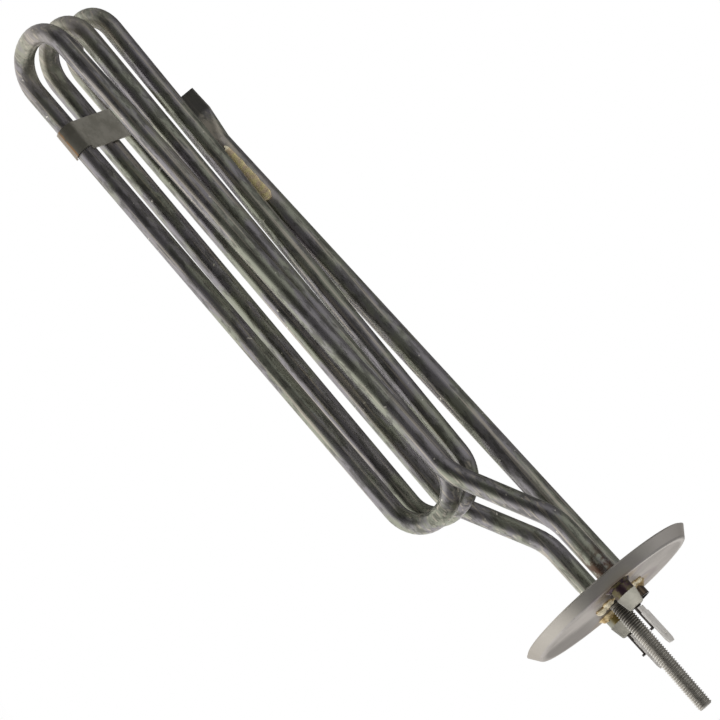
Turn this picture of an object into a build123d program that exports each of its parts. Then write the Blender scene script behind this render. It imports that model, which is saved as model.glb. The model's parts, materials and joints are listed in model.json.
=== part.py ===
from build123d import *
import math
import os

# Dishwasher heating element: a sealed tubular heater bent into three long loops and
# brazed through a pressed flange, with a thermostat pocket, a clamping stud and two
# flat plug terminals. All sizes are in millimetres.
#
# The origin is the middle of the flange's outer face, where the stud stands. +X runs
# along the stud, away from the tank, so that the loops reach towards -X. +Z is up:
# the two terminals are about level with the stud, one each side of it along Y.
#
# The tubes were brazed in a little out of square. So everything that belongs to them is
# first built true, in its own frame, and then leans about the origin by TUBES_LEAN.

TUBES_LEAN = 1.5

# Heater tube
SHEATH_DIA = 8.0
SHEATH_WALL = 0.7
FILL_GAP = 0.12
WINDING_DIA = 3.2
WINDING_GAP = 0.12
BEND_RADIUS = 13.9

# The loops. Each loop goes out on one run and comes back on another. At the far bends
# the loops stand in a neat row, and the next loop is one STACK_PITCH on from the last.
LOOP_COUNT = 3
FAR_BEND_X = -311.9
NEAR_BEND_X = -66.4
FIRST_RUN_Y = -17.2
FIRST_RUN_Z = -14.0
LOOP_WIDTH = 28.9
LOOP_ANGLE = -37.6
STACK_PITCH = 14.5
STACK_ANGLE = 48.4
# Hand bending has let every run wander across on its way back to the near bends.
GO_DRIFT = [(0.3, -1.9), (-1.2, -11.6), (-2.2, -13.9)]
RETURN_DRIFT = [(3.8, -5.9), (5.1, -9.0), (4.5, -7.0)]

# The two leads: each leaves its run by one bend and lines up with its terminal by another
TERMINAL_Y = 27.6
TERMINAL_Z = 0.5
LEAD_A_LEAVES_X = -73.4
LEAD_A_LEVELS_X = -32.6
LEAD_B_LEAVES_X = -73.3
LEAD_B_LEVELS_X = -36.0
LEAD_BEND_RADIUS = 24.5
LEAD_STANDS_OUT = 4.5

# Flange
FLANGE_SHEET = 1.2
FLANGE_FACE_DIA = 69.5
FLANGE_RIM_DIA = 75.9
FLANGE_RIM_DEPTH = 4.5
FLANGE_BEND_RADIUS = 1.5
TUBE_HOLE_GAP = 0.08

# Clamping stud with an M6 thread: a weld collar, a short neck and then the thread
STUD_DIA = 6.0
STUD_LENGTH = 51.4
STUD_CHAMFER = 0.6
STUD_COLLAR_DIA = 7.4
STUD_COLLAR_THICK = 0.8
STUD_NECK_DIA = 4.9
STUD_NECK_LENGTH = 0.9

# Thermostat pocket: a bigger tube, open outside the tank and pinched flat at its far end.
# It lies beside the last loop's go run, and comes nearest to it where its taper starts.
POCKET_DIA = 9.5
POCKET_WALL = 0.7
POCKET_TO_RUN_GAP = 0.46
POCKET_TO_RUN_ANGLE = 34.6
POCKET_STANDS_OUT = 5.5
POCKET_END_X = -260.3
POCKET_PINCH_LENGTH = 10.4
POCKET_TAPER_LENGTH = 14.1
PINCH_SEAM = 0.2
TAPER_MOUTH_OVAL = 0.02

# Terminal pins, their seals, the ceramic bushes and the plug tabs
PIN_DIA = 3.0
PIN_REACH_IN = 25.2
PIN_REACH_OUT = 20.2
PIN_FLAT_HEIGHT = 0.3
PIN_FLAT_GAP = 0.3
PIN_LIP_THICK = 0.8
PIN_LIP_DROP = 0.8
TERMINAL_ROLL = 28.5
SEAL_LENGTH = 4.7
BUSH_BASE_DIA = 8.5
BUSH_TOP_DIA = 6.3
BUSH_LENGTH = 5.8
BUSH_ROUNDING = 0.8
BUSH_SPIGOT_LENGTH = 2.8
BUSH_GAP = 0.1
TAB_WIDTH = 6.3
TAB_THICK = 0.8
TAB_LENGTH = 16.9
TAB_STARTS_AFTER_BUSH = 0.8
TAB_TIP_LENGTH = 1.5
TAB_TIP_WIDTH = 4.2
TAB_HOLE_DIA = 1.7
TAB_HOLE_FROM_TIP = 4.0
TAB_ROOT_NOTCH_LENGTH = 2.4
TAB_ROOT_NOTCH_WIDTH = 0.9

# Strap across the return runs
STRAP_X = -272.2
STRAP_WIDTH = 14.1
STRAP_EAR_WIDTH = 12.4
STRAP_SHEET = 0.7
STRAP_GAP = 0.15
STRAP_WRAP_ANGLE = 150.0
STRAP_FAN_STEPS = 8

# Braze and weld fillets. A braze starts below the face and is cut back to it.
BRAZE_SINK = 0.5
BRAZE_REACH = 1.2
BRAZE_HEIGHT = 1.1
WELD_REACH = 0.6
WELD_HEIGHT = 0.5
# A fillet's surface is hollow: its middle point lies at these shares of height and reach
FILLET_MIDDLE_HEIGHT = 0.35
FILLET_MIDDLE_REACH = 0.42
SEAM_BRAZE_STARTS_X = -232.2
SEAM_BRAZE_LENGTH = 28.2
SEAM_BRAZE_DIA = 6.0
SEAM_BRAZE_LIFT = 2.9

SHEATH_BORE = SHEATH_DIA - 2 * SHEATH_WALL
FILL_DIA = SHEATH_BORE - 2 * FILL_GAP
POCKET_BORE = POCKET_DIA - 2 * POCKET_WALL
POCKET_FLAT_X = POCKET_END_X + POCKET_PINCH_LENGTH
POCKET_ROUND_X = POCKET_FLAT_X + POCKET_TAPER_LENGTH
SEAL_INNER_X = LEAD_STANDS_OUT - BUSH_SPIGOT_LENGTH - SEAL_LENGTH
TAB_ROOT_X = LEAD_STANDS_OUT + BUSH_LENGTH + TAB_STARTS_AFTER_BUSH
STRAP_INNER_R = SHEATH_DIA / 2 + STRAP_GAP
STRAP_OUTER_R = STRAP_INNER_R + STRAP_SHEET


def across(length, angle):
    """A step of this length in the YZ plane, at this angle up from +Y."""
    turn = math.radians(angle)
    return (length * math.cos(turn), length * math.sin(turn))


def run_at(drift, loop, returning, x):
    """The point where one run of one loop passes the plane at x."""
    stack = across(STACK_PITCH * loop, STACK_ANGLE)
    width = across(LOOP_WIDTH if returning else 0.0, LOOP_ANGLE)
    share = (x - FAR_BEND_X) / (NEAR_BEND_X - FAR_BEND_X)
    y = FIRST_RUN_Y + stack[0] + width[0] + drift[loop][0] * share
    z = FIRST_RUN_Z + stack[1] + width[1] + drift[loop][1] * share
    return (x, y, z)


def go_run(loop, x):
    return run_at(GO_DRIFT, loop, False, x)


def return_run(loop, x):
    return run_at(RETURN_DRIFT, loop, True, x)


def pocket_centre():
    """Where the pocket's axis passes, as (y, z), beside the last go run."""
    run = go_run(LOOP_COUNT - 1, POCKET_ROUND_X)
    apart = (SHEATH_DIA + POCKET_DIA) / 2 + POCKET_TO_RUN_GAP
    dy, dz = across(apart, POCKET_TO_RUN_ANGLE)
    return (run[1] + dy, run[2] + dz)


def lean(shape):
    """Turns a piece from the tubes' own frame to the place where it was brazed in."""
    return Rot(0, -TUBES_LEAN, 0) * shape


def heater_path(end_x):
    """The heater's centre line, with both its ends on the plane at end_x."""
    corners = [(end_x, -TERMINAL_Y, TERMINAL_Z), (LEAD_A_LEVELS_X, -TERMINAL_Y, TERMINAL_Z)]
    corners.append(go_run(0, LEAD_A_LEAVES_X))
    radii = [LEAD_BEND_RADIUS, LEAD_BEND_RADIUS]
    last = LOOP_COUNT - 1
    for loop in range(LOOP_COUNT):
        corners += [go_run(loop, FAR_BEND_X), return_run(loop, FAR_BEND_X)]
        radii += [BEND_RADIUS, BEND_RADIUS]
        if loop < last:
            corners += [return_run(loop, NEAR_BEND_X), go_run(loop + 1, NEAR_BEND_X)]
            radii += [BEND_RADIUS, BEND_RADIUS]
    corners.append(return_run(last, LEAD_B_LEAVES_X))
    corners += [(LEAD_B_LEVELS_X, TERMINAL_Y, TERMINAL_Z), (end_x, TERMINAL_Y, TERMINAL_Z)]
    radii += [LEAD_BEND_RADIUS, LEAD_BEND_RADIUS]
    return FilletPolyline(*corners, radius=radii)


def swept_rod(path, diameter, bore=0.0):
    """A round rod, or a tube where a bore is given, along a path."""
    start = Plane(origin=path @ 0, z_dir=path % 0)
    section = Circle(diameter / 2)
    if bore > 0:
        section -= Circle(bore / 2)
    return sweep(start * section, path=path)


def rod_along_x(x_from, x_to, diameter, y=0.0, z=0.0):
    """A plain cylinder along X between two planes."""
    base = Plane(origin=(x_from, y, z), x_dir=(0, 1, 0), z_dir=(1, 0, 0))
    return extrude(base * Circle(diameter / 2), amount=x_to - x_from)


def turned_along_x(points, y=0.0, z=0.0):
    """A solid turned about the X direction from points (x, radius)."""
    outline = make_face(Polyline(*[(x, 0, r) for x, r in points], close=True))
    return Pos(0, y, z) * revolve(outline, axis=Axis.X)


def make_sheath():
    return swept_rod(heater_path(LEAD_STANDS_OUT), SHEATH_DIA, SHEATH_BORE)


def make_fill():
    """Packed magnesia between the winding and the sheath, with the winding's hole in it."""
    return swept_rod(heater_path(SEAL_INNER_X), FILL_DIA, WINDING_DIA + 2 * WINDING_GAP)


def make_winding():
    """The resistance coil, as the closed rod that its fine turns fill."""
    return swept_rod(heater_path(-PIN_REACH_IN), WINDING_DIA)


def roll_frame(side):
    """The plane of a terminal: its X axis runs out along the pin, its Z axis is the tab's face."""
    roll = math.radians(TERMINAL_ROLL)
    normal = (0, -math.sin(roll), math.cos(roll))
    return Plane(origin=(0, side * TERMINAL_Y, TERMINAL_Z), x_dir=(1, 0, 0), z_dir=normal)


def make_pin(side):
    """A round pin, half cut away under its tab, with a small lip left at the cut end."""
    pin = rod_along_x(-PIN_REACH_IN, PIN_REACH_OUT, PIN_DIA, side * TERMINAL_Y, TERMINAL_Z)
    lip_from = PIN_REACH_OUT - PIN_LIP_THICK
    pin += rod_along_x(
        lip_from, PIN_REACH_OUT, PIN_DIA, side * TERMINAL_Y, TERMINAL_Z - PIN_LIP_DROP
    )
    flat_from = TAB_ROOT_X - PIN_FLAT_GAP
    flat_length = PIN_REACH_OUT - flat_from
    cut = Pos(flat_from, 0, PIN_FLAT_HEIGHT) * Box(
        flat_length, 2 * PIN_DIA, PIN_DIA, align=(Align.MIN, Align.CENTER, Align.MIN)
    )
    return pin - roll_frame(side) * cut


def make_seal(side):
    """Sealing compound that closes the tube's end behind the bush."""
    outer = SEAL_INNER_X + SEAL_LENGTH
    y = side * TERMINAL_Y
    seal = rod_along_x(SEAL_INNER_X, outer, SHEATH_BORE, y, TERMINAL_Z)
    return seal - rod_along_x(SEAL_INNER_X, outer, PIN_DIA, y, TERMINAL_Z)


def make_bush(side):
    """A tapered ceramic bush with a spigot that drops into the tube's end."""
    spigot_r = SHEATH_BORE / 2 - BUSH_GAP
    face = LEAD_STANDS_OUT
    outline = [
        (face - BUSH_SPIGOT_LENGTH, 0),
        (face - BUSH_SPIGOT_LENGTH, spigot_r),
        (face, spigot_r),
        (face, BUSH_BASE_DIA / 2),
        (face + BUSH_LENGTH, BUSH_TOP_DIA / 2),
        (face + BUSH_LENGTH, 0),
    ]
    y = side * TERMINAL_Y
    body = turned_along_x(outline, y, TERMINAL_Z)
    front = body.edges().filter_by(GeomType.CIRCLE).sort_by(Axis.X)[-1]
    body = fillet(front, BUSH_ROUNDING)
    hole = rod_along_x(
        face - BUSH_SPIGOT_LENGTH, face + BUSH_LENGTH, PIN_DIA + 2 * BUSH_GAP, y, TERMINAL_Z
    )
    return body - hole


def tab_outline():
    """Half width steps of the plug tab, drawn along X from its root to its tip."""
    half = TAB_WIDTH / 2
    neck = half - TAB_ROOT_NOTCH_WIDTH
    tip = TAB_TIP_WIDTH / 2
    shoulder = TAB_LENGTH - TAB_TIP_LENGTH
    upper = [
        (0, neck),
        (TAB_ROOT_NOTCH_LENGTH, neck),
        (TAB_ROOT_NOTCH_LENGTH, half),
        (shoulder, half),
        (TAB_LENGTH, tip),
    ]
    lower = [(x, -y) for x, y in reversed(upper)]
    return make_face(Polyline(*upper, *lower, close=True))


def make_tab(side):
    """A flat plug tab with its locating hole, seated on the pin's flat."""
    blank = extrude(tab_outline(), amount=TAB_THICK)
    hole = Pos(TAB_LENGTH - TAB_HOLE_FROM_TIP, 0, 0) * Cylinder(
        TAB_HOLE_DIA / 2, TAB_THICK, align=(Align.CENTER, Align.CENTER, Align.MIN)
    )
    blank -= hole
    return roll_frame(side) * Pos(TAB_ROOT_X, 0, PIN_FLAT_HEIGHT) * blank


def flange_section():
    """Half section of the pressed flange: a flat face with a skirt that flares back."""
    face_r = FLANGE_FACE_DIA / 2
    rim_r = FLANGE_RIM_DIA / 2
    slope = math.atan2(FLANGE_RIM_DEPTH, rim_r - face_r)
    inset = FLANGE_SHEET * math.tan(slope / 2)
    back = (-FLANGE_SHEET * math.cos(slope), -FLANGE_SHEET * math.sin(slope))
    outer = [(0, 0), (0, face_r), (-FLANGE_RIM_DEPTH, rim_r)]
    inner = [
        (-FLANGE_RIM_DEPTH + back[0], rim_r + back[1]),
        (-FLANGE_SHEET, face_r - inset),
        (-FLANGE_SHEET, 0),
    ]
    return [(x, 0, r) for x, r in outer + inner]


def make_flange():
    """The pressed disc, turned from its section, with a hole for each tube."""
    disc = revolve(make_face(Polyline(*flange_section(), close=True)), axis=Axis.X)
    front_edge = disc.edges().filter_by(GeomType.CIRCLE).group_by(Axis.X)[-1]
    disc = fillet(front_edge, FLANGE_BEND_RADIUS)
    hole_dia = SHEATH_DIA + 2 * TUBE_HOLE_GAP
    through = FLANGE_RIM_DEPTH
    for side in (-1, 1):
        disc -= lean(rod_along_x(-through, through, hole_dia, side * TERMINAL_Y, TERMINAL_Z))
    pocket_hole = POCKET_DIA + 2 * TUBE_HOLE_GAP
    return disc - lean(rod_along_x(-through, through, pocket_hole, *pocket_centre()))


def make_stud():
    """The clamping stud, plain to the crests of its thread, with a collar, neck and chamfer."""
    neck_from = STUD_COLLAR_THICK
    thread_from = neck_from + STUD_NECK_LENGTH
    outline = [
        (0, 0),
        (0, STUD_COLLAR_DIA / 2),
        (neck_from, STUD_COLLAR_DIA / 2),
        (neck_from, STUD_NECK_DIA / 2),
        (thread_from, STUD_NECK_DIA / 2),
        (thread_from, STUD_DIA / 2),
        (STUD_LENGTH - STUD_CHAMFER, STUD_DIA / 2),
        (STUD_LENGTH, STUD_DIA / 2 - STUD_CHAMFER),
        (STUD_LENGTH, 0),
    ]
    return turned_along_x(outline)


def slot_section(height, thick, x):
    """A round-ended slot outline, tall along Z, on the plane at x."""
    plane = Plane(origin=(x, *pocket_centre()), x_dir=(0, 0, 1), z_dir=(-1, 0, 0))
    return plane * SlotOverall(height, thick)


def pinch_height(round_dia, thick):
    """Height of a slot with the same girth as a circle, so that the tube's wall is kept."""
    return thick + (math.pi * round_dia - math.pi * thick) / 2


def pocket_taper(diameter, thick):
    """The stretch where the round tube goes over to its flat end."""
    mouth = slot_section(diameter + TAPER_MOUTH_OVAL, diameter, POCKET_ROUND_X)
    return loft([mouth, slot_section(pinch_height(diameter, thick), thick, POCKET_FLAT_X)])


def make_pocket():
    """The thermostat pocket: open at the stud side, tapered and pinched shut at the far end."""
    pinch_outer = 2 * POCKET_WALL + PINCH_SEAM
    tube = rod_along_x(POCKET_ROUND_X, POCKET_STANDS_OUT, POCKET_DIA, *pocket_centre())
    tube += pocket_taper(POCKET_DIA, pinch_outer)
    height = pinch_height(POCKET_DIA, pinch_outer)
    tube += extrude(slot_section(height, pinch_outer, POCKET_FLAT_X), amount=POCKET_PINCH_LENGTH)
    tube -= rod_along_x(POCKET_ROUND_X, POCKET_STANDS_OUT, POCKET_BORE, *pocket_centre())
    return tube - pocket_taper(POCKET_BORE, PINCH_SEAM)


def ring_fillet(inner_dia, reach, height, sink, y, z):
    """A cone of filler metal round a tube or stud where it leaves the flange's face."""
    r = inner_dia / 2
    middle = (height * FILLET_MIDDLE_HEIGHT, r + reach * FILLET_MIDDLE_REACH)
    outline = [(-sink, r), (-sink, r + reach), (0, r + reach), middle, (height, r)]
    return turned_along_x(outline, y, z)


def on_face(fillet_ring):
    """What is left of a leaning fillet once all that lies behind the flange's face is gone."""
    behind = Box(
        FLANGE_RIM_DIA, FLANGE_RIM_DIA, FLANGE_RIM_DIA, align=(Align.MAX, Align.CENTER, Align.CENTER)
    )
    return fillet_ring - behind


def make_lead_braze(side):
    y = side * TERMINAL_Y
    return on_face(lean(ring_fillet(SHEATH_DIA, BRAZE_REACH, BRAZE_HEIGHT, BRAZE_SINK, y, TERMINAL_Z)))


def make_pocket_braze():
    place = pocket_centre()
    return on_face(lean(ring_fillet(POCKET_DIA, BRAZE_REACH, BRAZE_HEIGHT, BRAZE_SINK, *place)))


def make_stud_weld():
    r = STUD_COLLAR_DIA / 2
    return turned_along_x([(0, r), (0, r + WELD_REACH), (WELD_HEIGHT, r)])


def run_cylinder(run, loop, x_from, x_to, diameter):
    """A cylinder of the given diameter round one straight run, between two planes."""
    start = Vector(*run(loop, x_from))
    along = Vector(*run(loop, x_to)) - start
    return extrude(Plane(origin=start, z_dir=along) * Circle(diameter / 2), amount=along.length)


def make_seam_braze():
    """The bead that ties the pocket to the last loop, in the valley between the two tubes."""
    x_from = SEAM_BRAZE_STARTS_X
    x_to = x_from + SEAM_BRAZE_LENGTH
    last = LOOP_COUNT - 1
    pocket = Vector(0, *pocket_centre())
    ends = []
    for x in (x_from, x_to):
        run = Vector(0, *go_run(last, x)[1:])
        towards = (pocket - run).normalized()
        valley = (pocket + run) / 2 + Vector(0, -towards.Z, towards.Y) * SEAM_BRAZE_LIFT
        ends.append(Vector(x, valley.Y, valley.Z))
    line = Line(ends[0], ends[1])
    bead = sweep(Plane(origin=ends[0], z_dir=line % 0) * Circle(SEAM_BRAZE_DIA / 2), path=line)
    spare = SEAM_BRAZE_DIA
    bead -= run_cylinder(go_run, last, x_from - spare, x_to + spare, SHEATH_DIA)
    return bead - rod_along_x(x_from - spare, x_to + spare, POCKET_DIA, *pocket_centre())


def make_strap():
    """A flat strip over the return runs, with both its ears curled round the outer tubes."""
    far_edge_x = STRAP_X - STRAP_WIDTH / 2
    first = Vector(*return_run(0, far_edge_x))
    last = Vector(*return_run(LOOP_COUNT - 1, far_edge_x))
    span = (last - first).length
    # Local frame: x from the first tube to the last, y towards the go runs, z along the tubes
    along_tubes = Vector(*return_run(1, NEAR_BEND_X)) - Vector(*return_run(1, FAR_BEND_X))
    frame = Plane(origin=first, x_dir=last - first, z_dir=along_tubes)
    strip = Pos(span / 2, (STRAP_INNER_R + STRAP_OUTER_R) / 2) * Rectangle(span, STRAP_SHEET)
    strap = extrude(frame * strip, amount=STRAP_WIDTH)
    for ear in (curl(0, 1), curl(span, -1)):
        strap += extrude(frame * ear, amount=STRAP_EAR_WIDTH)
    return strap


def curl(centre_x, side):
    """The part of the strap's section that curls round one outer tube."""
    fan_r = 4 * STRAP_OUTER_R
    fan = [(0, 0)]
    for step in range(STRAP_FAN_STEPS + 1):
        turn = math.radians(90 + side * STRAP_WRAP_ANGLE * step / STRAP_FAN_STEPS)
        fan.append((fan_r * math.cos(turn), fan_r * math.sin(turn)))
    ring = Circle(STRAP_OUTER_R) - Circle(STRAP_INNER_R)
    return Pos(centre_x, 0) * (ring & make_face(Polyline(*fan, close=True)))


def write(name, shape):
    solids = shape.solids()
    solid = solids[0] if len(solids) == 1 else Compound(solids)
    export_step(solid, os.path.join("parts", name + ".step"))
    print(f"{name}: {len(solids)} solid, {sum(s.volume for s in solids):.1f} mm3")


def main():
    os.makedirs("parts", exist_ok=True)
    write("sheath_tube", lean(make_sheath()))
    write("magnesia_fill", lean(make_fill()))
    write("resistance_winding", lean(make_winding()))
    for side, name in ((-1, "a"), (1, "b")):
        write(f"terminal_pin_{name}", lean(make_pin(side)))
        write(f"end_seal_{name}", lean(make_seal(side)))
        write(f"ceramic_bush_{name}", lean(make_bush(side)))
        write(f"plug_tab_{name}", lean(make_tab(side)))
        write(f"lead_braze_{name}", make_lead_braze(side))
    write("flange", make_flange())
    write("clamp_stud", make_stud())
    write("stud_weld", make_stud_weld())
    write("thermostat_pocket", lean(make_pocket()))
    write("pocket_braze", make_pocket_braze())
    write("seam_braze", lean(make_seam_braze()))
    write("loop_strap", lean(make_strap()))


main()
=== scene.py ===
# %% [markdown]
# # Dishwasher heating element
# This file is a lesson in dressing a imported CAD part in Blender. The part is a sealed tubular
# heater: one long metal tube bent into three loops, brazed through a pressed flange. Every shape
# that matters comes from the CAD frame, so most of the work here is in the finishes.
# The frame is loaded first, and the places and sizes of its pieces are read from it.

# %% The CAD frame
import json
import math

import bmesh
import bpy
from mathutils import Matrix, Vector


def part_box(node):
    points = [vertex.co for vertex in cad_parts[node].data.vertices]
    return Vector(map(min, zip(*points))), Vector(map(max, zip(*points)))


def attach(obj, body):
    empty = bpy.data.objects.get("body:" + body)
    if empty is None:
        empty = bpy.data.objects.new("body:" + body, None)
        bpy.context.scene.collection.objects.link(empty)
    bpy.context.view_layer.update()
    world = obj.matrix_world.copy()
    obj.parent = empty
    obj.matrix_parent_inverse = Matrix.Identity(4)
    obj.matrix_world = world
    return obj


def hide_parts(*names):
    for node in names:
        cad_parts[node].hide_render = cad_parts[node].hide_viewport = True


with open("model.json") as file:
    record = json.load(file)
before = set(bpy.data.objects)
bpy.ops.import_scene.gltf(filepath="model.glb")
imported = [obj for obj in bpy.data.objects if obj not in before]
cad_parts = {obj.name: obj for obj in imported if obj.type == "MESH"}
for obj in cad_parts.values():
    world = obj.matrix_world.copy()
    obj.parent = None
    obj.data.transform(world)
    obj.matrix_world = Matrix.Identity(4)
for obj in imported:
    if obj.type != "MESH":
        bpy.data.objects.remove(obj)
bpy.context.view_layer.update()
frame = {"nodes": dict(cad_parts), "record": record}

MM = 0.001
scene = bpy.context.scene
nodes = frame["nodes"]

# %% [markdown]
# ## Arithmetic for shaders
# A finish is a sum of small effects: a mottle here, a scratch there, less of it near the flange.
# Wired by hand that is a tangle of Math nodes. Wrapping a socket in a small class and giving it
# the arithmetic signs lets each effect be written as a line of Python, and the class adds the
# nodes. Everything that isn't arithmetic goes through one method, so there is one place that
# knows how a node is made.


# %% A socket with arithmetic
class Paint:
    """One socket of a node tree. Arithmetic on values adds Math nodes."""

    def __init__(self, tree, socket=None):
        self.tree = tree
        self.socket = socket

    def node(self, kind, settings, inputs, out=0):
        """Adds any node: its settings first, then the values or links of its sockets."""
        made = self.tree.nodes.new("ShaderNode" + kind)
        for name, value in settings.items():
            setattr(made, name, value)
        for name, value in inputs.items():
            if isinstance(value, Paint):
                self.tree.links.new(value.socket, made.inputs[name])
            else:
                made.inputs[name].default_value = value
        return Paint(self.tree, made.outputs[out] if made.outputs else None)

    def math(self, operation, *values):
        return self.node("Math", {"operation": operation}, dict(enumerate(values)))

    def __add__(self, other):
        return self.math("ADD", self, other)

    def __radd__(self, other):
        return self.math("ADD", other, self)

    def __sub__(self, other):
        return self.math("SUBTRACT", self, other)

    def __rsub__(self, other):
        return self.math("SUBTRACT", other, self)

    def __mul__(self, other):
        return self.math("MULTIPLY", self, other)

    def __rmul__(self, other):
        return self.math("MULTIPLY", other, self)

    def __pow__(self, power):
        return self.math("POWER", self, power)


# %% [markdown]
# ## Words for finishes
# Six words say most of what a metal surface does. `here` is a place on the part in metres.
# `step` turns a value into a soft mask. `speckle` is noise with its own scale on each axis, so
# that a long scale along X gives drawing lines. `blend` mixes two colours. `ring` is the distance
# from a line along X, which is what heat tint round a brazed joint follows. `dress` closes a
# material and puts it on its pieces.


# %% Places, masks, noise and colours
def here(paint):
    """The place on the part, in metres, as x, y and z."""
    place = paint.node("TexCoord", {}, {}, "Object")
    return [place.node("SeparateXYZ", {}, {0: place}, axis) for axis in "XYZ"]


def step(value, low, high):
    """0 below low, 1 above high, and smooth between; a mask that falls has low above high."""
    if low > high:
        return 1 - step(value, high, low)
    limits = {"Value": value, "From Min": low, "From Max": high}
    return value.node("MapRange", {"interpolation_type": "SMOOTHSTEP"}, limits)


def speckle(paint, per_metre, detail=3.0, roughness=0.55, seed=0.0):
    """Noise from 0 to 1 with this many features to the metre along X, Y and Z."""
    place = paint.node("TexCoord", {}, {}, "Object")
    stretch = {"Vector": place, "Location": (seed, seed, seed), "Scale": per_metre}
    mapped = paint.node("Mapping", {}, stretch)
    look = {"Vector": mapped, "Scale": 1.0, "Detail": detail, "Roughness": roughness}
    return paint.node("TexNoise", {}, look, "Fac")


def blend(first, second, mask):
    """The first colour where the mask is 0 and the second where it is 1."""
    ends = [c if isinstance(c, Paint) else (*c, 1.0) for c in (first, second)]
    return mask.node("Mix", {"data_type": "RGBA"}, {0: mask, 6: ends[0], 7: ends[1]}, 2)


def ring(paint, centre_y, centre_z):
    """Distance in metres from the line along X through this y and z."""
    x, y, z = here(paint)
    dy = y - centre_y
    dz = z - centre_z
    return (dy * dy + dz * dz) ** 0.5


def start(name):
    """A new material, as the brush that its nodes are added with."""
    material = bpy.data.materials.new(name)
    material.use_nodes = True
    material.node_tree.nodes.clear()
    brush = Paint(material.node_tree)
    brush.material = material
    return brush


def dress(brush, colour, roughness, metallic, height, depth, pieces, **fixed):
    """Closes a material: height in steps of depth metres, then the shader, then its pieces."""
    bump = brush.node("Bump", {}, {"Height": height, "Strength": 1.0, "Distance": depth})
    look = {"Roughness": roughness, "Metallic": metallic, "Normal": bump}
    look["Base Color"] = colour if isinstance(colour, Paint) else (*colour, 1.0)
    look.update({name.replace("_", " "): value for name, value in fixed.items()})
    shader = brush.node("BsdfPrincipled", {}, look)
    brush.node("OutputMaterial", {}, {"Surface": shader})
    for piece in pieces:
        piece.data.materials.clear()
        piece.data.materials.append(brush.material)
    print(brush.material.name, "on", [piece.name for piece in pieces])


# %% [markdown]
# ## Heater tube
# The tube is drawn nickel steel that has been annealed and used. It is dark, and it has fine
# lines along its length and cloudy patches that lean to green or violet where the oxide is thicker.
# The outside of the far bends is warmer and paler, broken by patches: a painted highlight. Where it
# was brazed it is scorched brown, and the two stubs in front of the flange carry strong heat tints;
# the second stub is also darker towards the top and has a painted reflection along its lower side.
# Most of this is thin oxide over one metal, so it is one material with masks by place, and the
# metal's gloss does the rest.

# %% Places on the tube, read from the frame
far_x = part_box("sheath_tube")[0].x
stub_y = (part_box("ceramic_bush_b")[0].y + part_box("ceramic_bush_b")[1].y) / 2
flange_back_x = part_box("flange")[0].x
print("far bends at x", round(far_x / MM, 1), "mm, stubs at y", round(stub_y / MM, 1), "mm")

GREEN_STEEL = (0.38, 0.395, 0.325)
VIOLET_STEEL = (0.345, 0.33, 0.352)
WARM_STEEL_AND_HIGHLIGHT = (0.62, 0.57, 0.49)
DARK_OXIDE = (0.13, 0.128, 0.115)
SCORCH = (0.10, 0.045, 0.028)


# %% Drawn steel with oxide clouds
def drawn_steel(brush):
    """Colour, roughness and height of drawn tube, as the heater and its pocket share it."""
    clouds = speckle(brush, (34, 90, 90), 4.0, 0.6)
    film = speckle(brush, (110, 420, 420), 4.0, 0.7, 3.0)
    lines = speckle(brush, (16, 800, 800), 1.5, 0.6, 7.0)
    grit = speckle(brush, (600, 1400, 1400), 2.0, 0.6, 9.0)
    specks = speckle(brush, (420, 420, 420), 1.0, 0.5, 11.0)
    colour = blend(GREEN_STEEL, VIOLET_STEEL, step(clouds, 0.44, 0.56))
    colour = blend(colour, DARK_OXIDE, step(film, 0.47, 0.60) * 0.65)
    colour = blend(colour, WARM_STEEL_AND_HIGHLIGHT, step(lines, 0.54, 0.66) * 0.7)
    colour = blend(colour, (0.85, 0.82, 0.74), step(specks, 0.76, 0.80))
    roughness = 0.30 + film * 0.10 + step(grit, 0.5, 0.8) * 0.04
    height = lines * 0.85 + grit * 0.15
    return colour, roughness, height


def dress_tube():
    brush = start("drawn_tube_steel")
    x, y, z = here(brush)
    colour, roughness, height = drawn_steel(brush)
    patches = speckle(brush, (70, 70, 70), 5.0)
    # Painted highlight: the outside of the far bends is made warmer and paler, broken by patches, and a
    # little rougher.
    bend_highlight = step(x, far_x + 32 * MM, far_x + 6 * MM) * step(patches, 0.30, 0.62)
    colour = blend(colour, WARM_STEEL_AND_HIGHLIGHT, bend_highlight * 0.4)
    blotches = speckle(brush, (260, 260, 260), 4.0, 0.65, 5.0)
    lead_a = step(y, -0.5 * stub_y, -0.7 * stub_y)
    scorched = step(x, -22 * MM, -9 * MM) * step(blotches, 0.38, 0.58) * lead_a
    colour = blend(colour, SCORCH, scorched * 0.85)
    in_front = step(x, flange_back_x / 4, 0.0)
    tint_a = blend((0.10, 0.06, 0.08), (0.19, 0.17, 0.09), step(blotches, 0.4, 0.62))
    # The second stub's heat tint is amber in the middle and darker towards the top; the pale grey along
    # its lower side is a painted reflection.
    tint_and_reflection_b = blend((0.46, 0.36, 0.13), (0.13, 0.10, 0.06), step(z, 0.5 * MM, 2.5 * MM))
    tint_and_reflection_b = blend(tint_and_reflection_b, (0.33, 0.33, 0.27), step(z, -1.0 * MM, -2.6 * MM))
    tint = blend(tint_and_reflection_b, tint_a, lead_a)
    colour = blend(colour, tint, in_front)
    roughness = roughness + bend_highlight * 0.10
    dress(brush, colour, roughness, 1.0, height, 0.003 * MM, [nodes["sheath_tube"]])


dress_tube()
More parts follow.
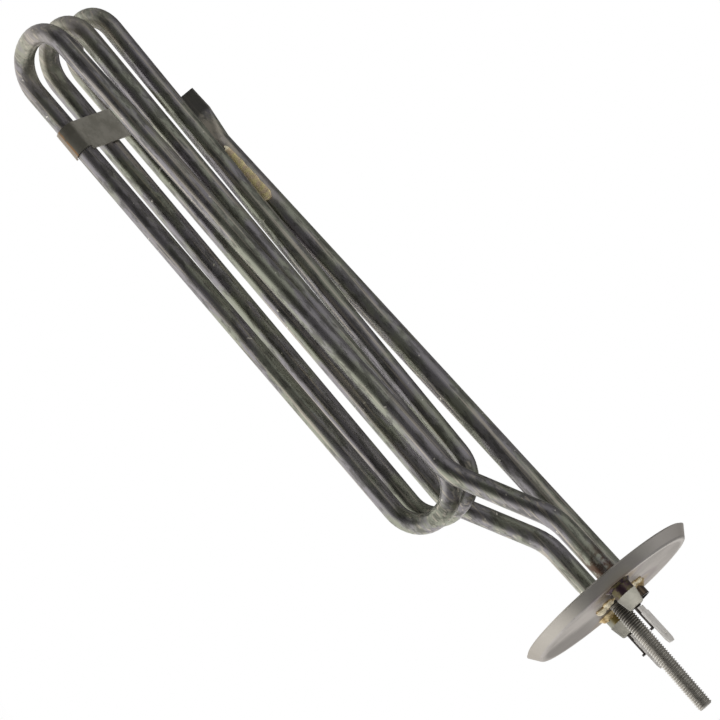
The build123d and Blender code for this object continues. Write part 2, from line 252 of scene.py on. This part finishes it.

# %% [markdown]
# ## Thermostat pocket
# The pocket is a wider tube of the same stock. Its pinched end was heated and squeezed, so it is
# almost black, and its mouth in front of the flange is brown with streaks along it. Just before the
# rim it is nearly black, a painted shade for the dark mouth. It shares the tube's drawn finish, with
# its own masks for the end, a straw band, the mouth and the rim.


# %% Pocket with a blackened end and a brown mouth
def dress_pocket():
    brush = start("pocket_steel")
    x, y, z = here(brush)
    colour, roughness, height = drawn_steel(brush)
    end_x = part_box("thermostat_pocket")[0].x
    blackened = step(x, end_x + 12 * MM, end_x + 9.5 * MM)
    colour = blend(colour, (0.13, 0.125, 0.115), blackened * 0.85)
    straw = step(x, end_x + 10 * MM, end_x + 16 * MM) * step(x, end_x + 75 * MM, end_x + 34 * MM)
    colour = blend(colour, WARM_STEEL_AND_HIGHLIGHT, straw * step(speckle(brush, (60, 200, 200), 4.0), 0.40, 0.62))
    streaks = speckle(brush, (60, 900, 900), 3.0, 0.6, 2.0)
    mouth = blend((0.10, 0.08, 0.062), (0.28, 0.22, 0.16), step(streaks, 0.42, 0.68))
    colour = blend(colour, mouth, step(x, flange_back_x / 4, 0.0))
    # Painted shade: the last half millimetre before the rim is nearly black, standing in for the dark
    # mouth.
    rim_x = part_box("thermostat_pocket")[1].x
    colour = blend(colour, (0.02, 0.018, 0.016), step(x, rim_x - 0.7 * MM, rim_x - 0.3 * MM))
    roughness = roughness + blackened * 0.12
    dress(brush, colour, roughness, 1.0, height, 0.003 * MM, [nodes["thermostat_pocket"]])


dress_pocket()

# %% [markdown]
# ## Flange
# A disc pressed from bright stainless sheet. It keeps its mill brushing, which runs one way across
# it, and it is paler and smoother than the tubes. Brazing has left rings of straw and violet round
# each joint. One side of the face is darkened with an uneven border: painted shade. The skirt's tone
# by height is painted light, and a pale arc near the face's rim is a painted highlight. Brushing is
# very long, thin noise that drives the height more than the colour.


# %% Pressed sheet with brushing and heat rings
def dress_flange():
    brush = start("flange_sheet")
    brushing = speckle(brush, (700, 1400, 28), 3.0, 0.6, 1.0)
    clouds = speckle(brush, (60, 60, 45), 4.0, 0.6, 4.0)
    marks = speckle(brush, (300, 500, 90), 4.0, 0.7, 6.0)
    colour = blend((0.60, 0.57, 0.555), (0.50, 0.48, 0.465), step(clouds, 0.40, 0.62))
    colour = blend(colour, (0.33, 0.31, 0.29), step(marks, 0.60, 0.82) * 0.6)
    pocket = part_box("pocket_braze")
    middle = (pocket[0] + pocket[1]) / 2
    near_pocket = ring(brush, middle.y, middle.z)
    near_a = ring(brush, -stub_y, 0.0)
    near_b = ring(brush, stub_y, 0.0)
    for distance in (near_pocket, near_a, near_b):
        spread = distance + (clouds - 0.5) * 5 * MM
        colour = blend(colour, (0.42, 0.30, 0.17), step(spread, 12 * MM, 6.5 * MM) * 0.55)
        violet = step(spread, 9 * MM, 11.5 * MM) * step(spread, 15 * MM, 12 * MM)
        colour = blend(colour, (0.34, 0.27, 0.31), violet * 0.4)
    x, y, z = here(brush)
    on_face = step(x, -1.0 * MM, -0.4 * MM)
    from_middle = ring(brush, 0.0, 0.0)
    # Painted shade: one side of the face is darkened, with an uneven border.
    uneven = (clouds - 0.5) * 14 * MM + (marks - 0.5) * 8 * MM
    painted_shade_side = step(y - z * 0.46 + uneven, -3.0 * MM, 14.0 * MM) * step(z + uneven, 3 * MM, -16 * MM)
    shade = painted_shade_side * on_face * step(from_middle, 34 * MM, 31.5 * MM)
    colour = blend(colour, (0.17, 0.155, 0.15), shade * 0.8)
    # Painted light on the skirt by height: a little paler in the middle band, a warmer grey low down
    # and much paler towards the top.
    painted_skirt_light = (1 - on_face) * step(z, -26 * MM, -8 * MM) * step(z, 30 * MM, 12 * MM)
    colour = blend(colour, (0.62, 0.61, 0.55), painted_skirt_light * 0.5)
    colour = blend(colour, (0.56, 0.53, 0.475), (1 - on_face) * step(z, -8 * MM, -20 * MM) * 0.7)
    colour = blend(colour, (0.88, 0.84, 0.80), (1 - on_face) * step(z, 10 * MM, 24 * MM) * 0.8)
    # Painted highlight: a pale arc near the rim of the face, on its upper side.
    rim_highlight = step(from_middle, 31.8 * MM, 33.4 * MM) * step(from_middle, 35.6 * MM, 34.4 * MM)
    colour = blend(colour, (0.86, 0.84, 0.82), rim_highlight * step(z, 2 * MM, 12 * MM) * 0.8)
    roughness = 0.26 + brushing * 0.14 + clouds * 0.06
    pieces = [nodes["flange"], nodes["stud_weld"]]
    edge_tint = (0.69, 0.67, 0.645, 1.0)
    dress(brush, colour, roughness, 1.0, brushing, 0.012 * MM, pieces, Specular_Tint=edge_tint)


dress_flange()

# %% [markdown]
# ## Shapes from rings
# The stud, the flows and the seam are each a row of rings of points, joined by quads. The three
# helpers here join the rings, close the two ends, and make a smooth piece that rides on the part.


# %% Rings, ends and pieces
def join_rings(mesh, rings, outward=True):
    """Joins each ring of points to the next with quads."""
    for a, b in zip(rings, rings[1:]):
        for j in range(len(a)):
            k = (j + 1) % len(a)
            mesh.faces.new((a[j], a[k], b[k], b[j]) if outward else (a[j], b[j], b[k], a[k]))


def close_ends(mesh, rings):
    mesh.faces.new(list(reversed(rings[0])))
    mesh.faces.new(rings[-1])


def new_piece(name, mesh, replaced=None):
    """A smooth piece on the root body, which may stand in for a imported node."""
    data = bpy.data.meshes.new(name)
    mesh.to_mesh(data)
    mesh.free()
    data.shade_smooth()
    piece = bpy.data.objects.new(name, data)
    scene.collection.objects.link(piece)
    if replaced:
        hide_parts(replaced)
    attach(piece, "root")
    return piece


# %% [markdown]
# ## Clamping stud
# The stud carries a rolled metric thread over its whole length. Its CAD solid is plain to the
# crests. A thread could be a bump, but its outline shows against the white background, so here
# it is real: rings of points along the stud, each point pulled in by a sawtooth that turns once
# round the stud for each pitch. The crest stays at the CAD radius, so the box doesn't change.


# %% A mesh thread
def stud_sizes():
    """The thread's crest radius, and where its wall starts and ends, from the stud's mount."""
    for mount in frame["record"]["mounts"]:
        if mount["name"] == "clamp_stud":
            dims = mount["dims"]
            half = dims["length_mm"] / 2 * MM
            return dims["r_mm"] * MM, mount["pos_m"][0] - half, mount["pos_m"][0] + half


CREST, THREAD_FROM, THREAD_TO = stud_sizes()
THREAD_PITCH = 1.0 * MM
THREAD_DEPTH = 0.5 * MM
THREAD_FLAT = 0.2
RUN_OUT = 1.2 * MM
NECK = CREST - 0.55 * MM
COLLAR_THICK = 0.8 * MM
STEPS_PER_PITCH = 12
POINTS_ROUND = 48
SHARP_ABOVE = 38


def thread_radius(x, turn, tip):
    """Radius of the threaded stud at x and at this part of a turn."""
    phase = (x / THREAD_PITCH - turn) % 1.0
    ramp = min(1.0, max(0.0, (abs(2 * phase - 1) - THREAD_FLAT) / (1 - 2 * THREAD_FLAT)))
    cut = THREAD_DEPTH * ramp * min(1.0, max(0.0, (x - THREAD_FROM) / RUN_OUT))
    chamfer = max(0.0, x - (tip - THREAD_DEPTH - 0.1 * MM))
    return min(CREST - cut, CREST - chamfer)


def make_threaded_stud():
    low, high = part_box("clamp_stud")
    collar = (high.z - low.z) / 2
    count = round((high.x - THREAD_FROM) / THREAD_PITCH * STEPS_PER_PITCH)
    steps = [THREAD_FROM + (high.x - THREAD_FROM) * i / count for i in range(count + 1)]
    outline = [(low.x, collar), (COLLAR_THICK, collar), (COLLAR_THICK, NECK), (THREAD_FROM, NECK)]
    mesh = bmesh.new()
    rings = []
    for x, fixed in outline + [(x, None) for x in steps]:
        points = []
        for j in range(POINTS_ROUND):
            turn = j / POINTS_ROUND
            r = fixed or thread_radius(x, turn, high.x)
            angle = 2 * math.pi * turn
            points.append(mesh.verts.new((x, r * math.cos(angle), r * math.sin(angle))))
        rings.append(points)
    join_rings(mesh, rings)
    close_ends(mesh, rings)
    bmesh.ops.recalc_face_normals(mesh, faces=mesh.faces)
    stud = new_piece("threaded_stud", mesh, "clamp_stud")
    stud.data.set_sharp_from_angle(angle=math.radians(SHARP_ABOVE))
    faces = len(stud.data.polygons)
    print("thread:", faces, "faces, crest radius", round(CREST / MM, 2), "mm")
    return stud


threaded_stud = make_threaded_stud()

# %% [markdown]
# The stud's steel is bright on the crests and dark in the grooves, where old oil and oxide stay,
# and it is darker near the flange. A mask from the distance to the stud's axis finds the grooves.


# %% Bright crests and dark grooves
def dress_stud():
    brush = start("stud_steel")
    x, y, z = here(brush)
    from_axis = ring(brush, 0.0, 0.0)
    groove = step(from_axis, CREST - 0.15 * MM, CREST - 0.5 * MM)
    grime = speckle(brush, (400, 700, 700), 4.0, 0.65)
    colour = blend((0.74, 0.72, 0.67), (0.58, 0.56, 0.52), step(grime, 0.4, 0.65))
    colour = blend(colour, (0.11, 0.10, 0.09), groove * (0.20 + step(x, 20 * MM, 10 * MM) * 0.6))
    colour = blend(colour, (0.16, 0.15, 0.13), step(x, 16 * MM, 4 * MM) * 0.8)
    roughness = 0.27 + groove * 0.25 + grime * 0.1
    dress(brush, colour, roughness, 1.0, grime, 0.004 * MM, [threaded_stud])


dress_stud()

# %% [markdown]
# ## Strap
# The strap is thin sheet, dull from the furnace: a soft olive grey without sharp reflections, and
# a brown heat mark where it curls round the first loop. It is painted paler away from the curl,
# and the curl itself carries painted shade, nearly black.


# %% Dull sheet with a heat mark
def dress_strap():
    brush = start("strap_sheet")
    x, y, z = here(brush)
    low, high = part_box("loop_strap")
    clouds = speckle(brush, (160, 160, 160), 5.0, 0.65)
    grain = speckle(brush, (1800, 1800, 1800), 3.0, 0.7, 2.0)
    colour = blend((0.42, 0.405, 0.35), (0.56, 0.54, 0.48), step(clouds, 0.38, 0.62))
    # Painted light: the strap is made much paler away from the curled end.
    colour = blend(colour, (0.86, 0.83, 0.76), step(y, low.y + 12 * MM, low.y + 27 * MM) * 0.8)
    # Painted shade: nearly black where the strap curls round the loop.
    curl_shade = step(y, low.y + 10 * MM, low.y + 6.5 * MM) * step(z, low.z + 8.5 * MM, low.z + 6 * MM)
    colour = blend(colour, (0.07, 0.066, 0.05), curl_shade * 0.8)
    burnt = step(z, low.z + 1.8 * MM, low.z + 1.4 * MM)
    colour = blend(colour, (0.34, 0.20, 0.10), burnt * step(clouds, 0.36, 0.5))
    colour = blend(colour, (0.44, 0.38, 0.31), step(z, low.z + 1.2 * MM, low.z + 0.8 * MM))
    roughness = 0.50 + grain * 0.12
    dress(brush, colour, roughness, 0.75, grain + clouds, 0.03 * MM, [nodes["loop_strap"]])


dress_strap()

# %% [markdown]
# ## Terminals
# Each terminal is a dark round pin in a cream ceramic bush, with a bright tab on it. The ceramic is
# unglazed and a little stained, so it is rough and has a fine grain in its height. The pin carries
# furnace oxide. The tab is plated sheet with soft dents.


# %% Ceramic, oxidised pins and plated tabs
def dress_terminals():
    brush = start("bush_ceramic")
    stain = speckle(brush, (240, 240, 240), 4.0, 0.6)
    grain = speckle(brush, (2600, 2600, 2600), 3.0, 0.6, 2.0)
    colour = blend((0.46, 0.44, 0.375), (0.39, 0.38, 0.32), step(stain, 0.40, 0.64))
    colour = blend(colour, (0.30, 0.25, 0.15), step(stain, 0.62, 0.78) * 0.6)
    bushes = [nodes["ceramic_bush_a"], nodes["ceramic_bush_b"]]
    dress(brush, colour, 0.42 + grain * 0.1, 0.0, grain, 0.02 * MM, bushes)

    brush = start("pin_oxide")
    scale = speckle(brush, (500, 1200, 1200), 4.0, 0.65)
    colour = blend((0.035, 0.03, 0.028), (0.12, 0.11, 0.10), step(scale, 0.45, 0.72))
    pins = [nodes["terminal_pin_a"], nodes["terminal_pin_b"]]
    dress(brush, colour, 0.34 + scale * 0.15, 1.0, scale, 0.03 * MM, pins)

    brush = start("tab_plating")
    wear = speckle(brush, (300, 500, 500), 4.0, 0.65)
    lines = speckle(brush, (60, 1800, 1800), 3.0, 0.6, 5.0)
    colour = blend((0.86, 0.83, 0.79), (0.66, 0.63, 0.59), step(wear, 0.45, 0.68))
    tabs = [nodes["plug_tab_a"], nodes["plug_tab_b"]]
    dress(brush, colour, 0.34 + wear * 0.10, 0.4, lines + wear, 0.004 * MM, tabs)


dress_terminals()

# %% [markdown]
# ## Brazes
# The CAD part has a neat cone of filler round each joint. Real filler wets the sheet unevenly and
# freezes in lobes, so three of the cones are replaced by flows and the stud gets one more. A flow
# is a ring of points in polar form: its reach and its height change with the angle, by a slow
# ripple and by a few lobes. Four round lumps lie where spare filler froze on the face. The seam
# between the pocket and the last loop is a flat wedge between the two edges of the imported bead.


# %% Flows of filler metal
FLOW_RINGS = 11
FLOW_ROUND = 96


def flow_reach(turn, reach, lobes, seed):
    """How far a flow has run at this angle, and how high it stands, in metres."""
    ripple = 1 + 0.16 * math.sin(3 * turn + seed) + 0.10 * math.sin(7 * turn + 2 * seed)
    out, up = reach * ripple, 0.7 * reach * ripple
    for angle, more_out, more_up, width in lobes:
        away = (math.degrees(turn) - angle + 180) % 360 - 180
        share = math.exp(-((away / width) ** 4))
        out += more_out * MM * share
        up += more_up * MM * share
    return out, up


def make_flow(name, node, centre_y, centre_z, inner, reach, lobes, seed):
    """A flow round the line along X through this y and z. Lobes: angle, reach, height, width."""
    mesh = bmesh.new()
    rings = []
    for i in range(FLOW_RINGS):
        u = i / (FLOW_RINGS - 1)
        points = []
        for j in range(FLOW_ROUND):
            turn = 2 * math.pi * j / FLOW_ROUND
            out, up = flow_reach(turn, reach, lobes, seed)
            lump = 1 + 0.16 * math.sin(11 * turn + seed) * math.sin(7 * u + seed)
            r = inner + out * u
            x = 0.02 * MM + up * lump * math.cos(u * math.pi / 2) ** 0.9
            y = centre_y + r * math.cos(turn)
            points.append(mesh.verts.new((x, y, centre_z + r * math.sin(turn))))
        rings.append(points)
    join_rings(mesh, rings, outward=False)
    bmesh.ops.recalc_face_normals(mesh, faces=mesh.faces)
    return new_piece(name, mesh, node)


TUBE_R = 3.9 * MM
pocket_low, pocket_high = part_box("pocket_braze")
pocket_y = (pocket_low.y + pocket_high.y) / 2
pocket_z = (pocket_low.z + pocket_high.z) / 2
stub_z = (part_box("lead_braze_b")[0].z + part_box("lead_braze_b")[1].z) / 2
flows = [
    make_flow("flow_a", "lead_braze_a", -stub_y, stub_z, TUBE_R, 1.3 * MM, [(40, 1.2, 0.6, 50)], 0.4),
    make_flow("flow_b", "lead_braze_b", stub_y, stub_z, TUBE_R, 1.4 * MM, [(215, 1.4, 0.8, 45)], 1.7),
    make_flow("flow_pocket", "pocket_braze", pocket_y, pocket_z, 4.7 * MM, 1.3 * MM,
              [(170, 1.9, 1.1, 22), (110, 1.0, 0.9, 30)], 2.9),
    make_flow("flow_stud", None, 0.0, 0.0, 3.6 * MM, 0.9 * MM, [(240, 1.8, 0.8, 40)], 4.1),
]


def make_blob(name, centre, half, seed):
    """A frozen lump of filler on the face: its centre and its half sizes, in millimetres."""
    mesh = bmesh.new()
    bmesh.ops.create_icosphere(mesh, subdivisions=4, radius=1.0)
    for point in mesh.verts:
        x, y, z = point.co
        swell = 1 + 0.08 * math.sin(2.2 * y + seed) * math.sin(2.6 * z + 2 * seed)
        place = [(c + h * v * swell) * MM for c, h, v in zip(centre, half, (x, y, z))]
        point.co = (max(place[0], -0.5 * MM), place[1], place[2])
    return new_piece(name, mesh)


flows += [
    make_blob("blob_stud_side", (0.4, -2.5, -6.3), (1.5, 2.9, 2.5), 1.0),
    make_blob("blob_stud_front", (0.2, -7.4, -3.6), (1.3, 2.8, 2.0), 2.0),
    make_blob("blob_pocket_front", (0.3, -3.0, 8.4), (1.4, 3.0, 1.9), 3.0),
    make_blob("blob_pocket_top", (0.2, -1.2, 11.4), (1.1, 3.2, 1.8), 5.0),
]


SEAM_RINGS = 61
SEAM_ROUND = 24
SEAM_SINK = 1.3 * MM


def bead_edges(solid, x):
    """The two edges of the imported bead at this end: the pair of points that lie furthest apart."""
    points = [solid.matrix_world @ v.co for v in solid.data.vertices]
    near = [p for p in points if abs(p.x - x) < 1 * MM]
    pairs = [(a, b) for a in near for b in near if a.y < b.y]
    return max(pairs, key=lambda pair: (pair[0] - pair[1]).length)


def seam_share(u):
    """How much of the bead's width the seam has at this part of its length."""
    ripple = 1 + 0.06 * math.sin(23 * u) + 0.05 * math.sin(41 * u)
    ends = min(1.0, 12 * u + 0.1, 16 * (1 - u) + 0.1) ** 0.5
    return (0.30 + 0.70 * u ** 0.8) * ripple * ends


def make_seam_film():
    """The seam as a flat wedge, narrow where it starts and as wide as the bead at its end."""
    low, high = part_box("seam_braze")
    first, last = [bead_edges(nodes["seam_braze"], x) for x in (low.x, high.x)]
    mesh = bmesh.new()
    rings = []
    for i in range(SEAM_RINGS):
        u = i / (SEAM_RINGS - 1)
        edges = [a.lerp(b, u) for a, b in zip(first, last)]
        side = (edges[1] - edges[0]) / 2
        out = Vector((0, -side.z, side.y)).normalized()
        if out.y > 0:
            out = -out
        share = seam_share(u)
        first_drop = 0.5 if i < 5 else 0
        thick_and_glint = (0.5 + 0.5 * share + first_drop) * MM
        middle = (edges[0] + edges[1]) / 2 - out * SEAM_SINK * (1 - share)
        points = []
        for j in range(SEAM_ROUND):
            turn = 2 * math.pi * j / SEAM_ROUND
            across = side * share * math.cos(turn)
            points.append(mesh.verts.new(middle + across + out * thick_and_glint * math.sin(turn)))
        rings.append(points)
    join_rings(mesh, rings)
    close_ends(mesh, rings)
    bmesh.ops.recalc_face_normals(mesh, faces=mesh.faces)
    return new_piece("seam_film", mesh, "seam_braze")


flows.append(make_seam_film())
print("flows:", [flow.name for flow in flows])

# %% [markdown]
# Filler metal is golden where it ran clean, cream where it is thickest, and brown where flux burnt
# on it; the cream on the lumps by the stud and the pocket is partly a painted glint, and the bright
# tip of the seam is a painted highlight. Round the first lead the flux was left on, so that flow is
# nearly black with a violet sheen. Lumps drive the colour and the height together, as dirt stays in
# the hollows.


# %% Golden filler with burnt flux
def dress_brazes():
    brush = start("braze_filler")
    x, y, z = here(brush)
    lumps = speckle(brush, (420, 420, 420), 4.0, 0.6)
    pits = speckle(brush, (1500, 1500, 1500), 3.0, 0.6, 4.0)
    colour = blend((0.58, 0.40, 0.18), (0.82, 0.66, 0.38), step(lumps, 0.36, 0.58))
    # Cream where the filler is thickest, on the lumps by the stud and the pocket; partly a painted
    # glint, so it is also less metallic.
    thick_and_glint = step(x, 0.2 * MM, 0.9 * MM) * step(y, 0.5 * MM, -3 * MM) * step(y, -16 * MM, -14 * MM)
    colour = blend(colour, (0.90, 0.80, 0.58), thick_and_glint)
    colour = blend(colour, (0.10, 0.06, 0.035), step(pits, 0.55, 0.72) * 0.7)
    seam_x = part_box("seam_braze")[0].x
    on_seam = step(x, seam_x + 40 * MM, seam_x + 35 * MM)
    film = blend((0.62, 0.50, 0.34), (0.66, 0.58, 0.30), step(lumps, 0.42, 0.58))
    film = blend(film, (0.30, 0.24, 0.11), step(pits, 0.54, 0.70) * 0.5)
    # Painted highlight: the bright tip where the seam starts.
    film = blend(film, (0.95, 0.88, 0.66), step(x, seam_x + 2.4 * MM, seam_x + 1.6 * MM))
    colour = blend(colour, film, on_seam)
    burnt = step(y, -stub_y / 2, -0.7 * stub_y)
    flux = blend((0.075, 0.05, 0.065), (0.17, 0.14, 0.07), step(lumps, 0.45, 0.62))
    colour = blend(colour, flux, burnt)
    roughness = 0.28 + pits * 0.25
    metallic = 0.85 - thick_and_glint * 0.45 - on_seam * 0.45
    dress(brush, colour, roughness, metallic, lumps + pits * 0.3, 0.15 * MM, flows)


dress_brazes()

# %% [markdown]
# ## Inside the tube
# The winding, its powder and the seals can't be seen in the closed part, but someone may open it,
# so they have their own plain finishes.


# %% Powder, winding and seals
WIRE_PITCH = 0.9 * MM


def dress_inside():
    brush = start("pressed_magnesia")
    grain = speckle(brush, (1600, 1600, 1600), 4.0, 0.7)
    colour = blend((0.80, 0.79, 0.75), (0.70, 0.68, 0.63), step(grain, 0.4, 0.65))
    dress(brush, colour, 0.85, 0.0, grain, 0.05 * MM, [nodes["magnesia_fill"]])

    brush = start("winding_wire")
    x, y, z = here(brush)
    angle = x * (2 * math.pi / WIRE_PITCH)
    turns = angle.math("SINE", angle)
    # Painted shade: the wire is darker in the gaps between its turns and paler on them.
    colour = blend((0.16, 0.155, 0.15), (0.42, 0.41, 0.39), step(turns, -0.6, 0.6))
    dress(brush, colour, 0.35, 1.0, turns, 0.2 * MM, [nodes["resistance_winding"]])

    brush = start("seal_compound")
    grain = speckle(brush, (900, 900, 900), 3.0, 0.6)
    colour = blend((0.42, 0.13, 0.09), (0.33, 0.09, 0.06), step(grain, 0.4, 0.65))
    seals = [nodes["end_seal_a"], nodes["end_seal_b"]]
    dress(brush, colour, 0.6 + grain * 0.1, 0.0, grain, 0.03 * MM, seals)


dress_inside()

# %% [markdown]
# ## Floor and light
# The part is photographed in front of plain white. Polished tube shows whatever surrounds it, so
# the surroundings are half of the finish: bright behind and below, as the white sheet it lies on
# would be, and dim towards the camera, as a room is. That gives each tube its pale lower rim, the
# dark band beside it and the grey on top. A little more comes from the far left, which only the
# outer bends show. The world does this by direction, and the camera itself sees the world as
# white. The floor lies well below, because the camera looks slightly up at the part, and it only
# catches the shadow.


# %% White floor
FLOOR_Z = -0.34
FLOOR_HALF = 6.0


def make_floor():
    data = bpy.data.meshes.new("floor")
    mesh = bmesh.new()
    bmesh.ops.create_grid(mesh, x_segments=1, y_segments=1, size=FLOOR_HALF)
    mesh.to_mesh(data)
    mesh.free()
    floor = bpy.data.objects.new("floor", data)
    floor.location.z = FLOOR_Z
    scene.collection.objects.link(floor)
    floor.visible_glossy = False
    brush = start("floor_white")
    seen = brush.node("LightPath", {}, {}, "Is Camera Ray")
    card = brush.node("BsdfDiffuse", {}, {"Color": (0.82, 0.82, 0.82, 1.0)})
    glow = brush.node("Emission", {}, {"Color": (1.0, 1.0, 1.0, 1.0), "Strength": 1.25})
    both = brush.node("MixShader", {}, {0: seen * 0.75, 1: card, 2: glow})
    brush.node("OutputMaterial", {}, {"Surface": both})
    data.materials.append(brush.material)
    return floor


make_floor()

# %% Light by direction
BEHIND_BELOW = Vector((0.0, 0.64, -0.77)).normalized()
ROOM_LEFT = 0.05
ROOM_RIGHT = 0.21
SHEET = 1.05
ABOVE = 0.11
LEFT = 0.30
WARM_LIGHT = (1.0, 0.985, 0.962)


def light_world():
    world = bpy.data.worlds.new("studio")
    scene.world = world
    world.use_nodes = True
    world.node_tree.nodes.clear()
    brush = Paint(world.node_tree)
    way = brush.node("TexCoord", {}, {}, "Generated")
    towards = brush.node("VectorMath", {"operation": "DOT_PRODUCT"}, {0: way, 1: BEHIND_BELOW}, "Value")
    up = brush.node("SeparateXYZ", {}, {0: way}, "Z")
    right = brush.node("SeparateXYZ", {}, {0: way}, "X")
    room = ROOM_LEFT + step(right, -0.40, 0.05) * (ROOM_RIGHT - ROOM_LEFT)
    level = room + step(towards, 0.10, 0.58) * (SHEET - room) + step(up, 0.1, 0.8) * ABOVE
    level = level + step(right, -0.6, -0.95) * LEFT
    seen = brush.node("LightPath", {}, {}, "Is Camera Ray")
    strength = level * (1 - seen) + seen
    colour = blend(WARM_LIGHT, (1.0, 1.0, 1.0), seen)
    sky = brush.node("Background", {}, {"Color": colour, "Strength": strength})
    brush.node("OutputWorld", {}, {"Surface": sky})


light_world()


# %% Soft lamps
def soft_lamp(name, place, aim, size, power, mirrored=True):
    """A square area lamp turned towards its aim; metal doesn't mirror it if mirrored is off."""
    lamp = bpy.data.lights.new(name, "AREA")
    lamp.size = size
    lamp.energy = power
    holder = bpy.data.objects.new(name, lamp)
    holder.location = place
    holder.rotation_euler = (Vector(aim) - Vector(place)).to_track_quat("-Z", "Y").to_euler()
    holder.visible_glossy = mirrored
    scene.collection.objects.link(holder)


middle = (-0.15, 0.0, -0.01)
soft_lamp("key", (-0.5, -1.0, 1.1), middle, 1.6, 2.2)
soft_lamp("front", (0.4, -1.2, 0.3), middle, 1.2, 11.0, False)

# %% [markdown]
# ## Camera
# The photograph was taken with a fairly long lens, a little below the part in its own frame, with
# the part lying across the picture. The camera's place and its two directions were found by
# fitting the tube's straight runs and the flange's ellipse.

# %% Camera at the photograph's angle
CAMERA_PLACE = Vector((0.128606, -1.093063, -0.171412))
CAMERA_FORWARD = Vector((-0.228875, 0.963372, 0.139753))
CAMERA_UP = Vector((-0.736051, -0.265217, 0.622807))
LENS = 150.18


def place_camera():
    camera = bpy.data.objects.new("camera", bpy.data.cameras.new("camera"))
    scene.collection.objects.link(camera)
    camera.data.lens = LENS
    camera.data.sensor_width = 36.0
    camera.data.clip_start = 0.05
    right = CAMERA_FORWARD.cross(CAMERA_UP)
    turn = Matrix((right, CAMERA_UP, -CAMERA_FORWARD)).transposed()
    camera.matrix_world = Matrix.Translation(CAMERA_PLACE) @ turn.to_4x4()
    scene.camera = camera


place_camera()
scene.view_settings.view_transform = "Standard"
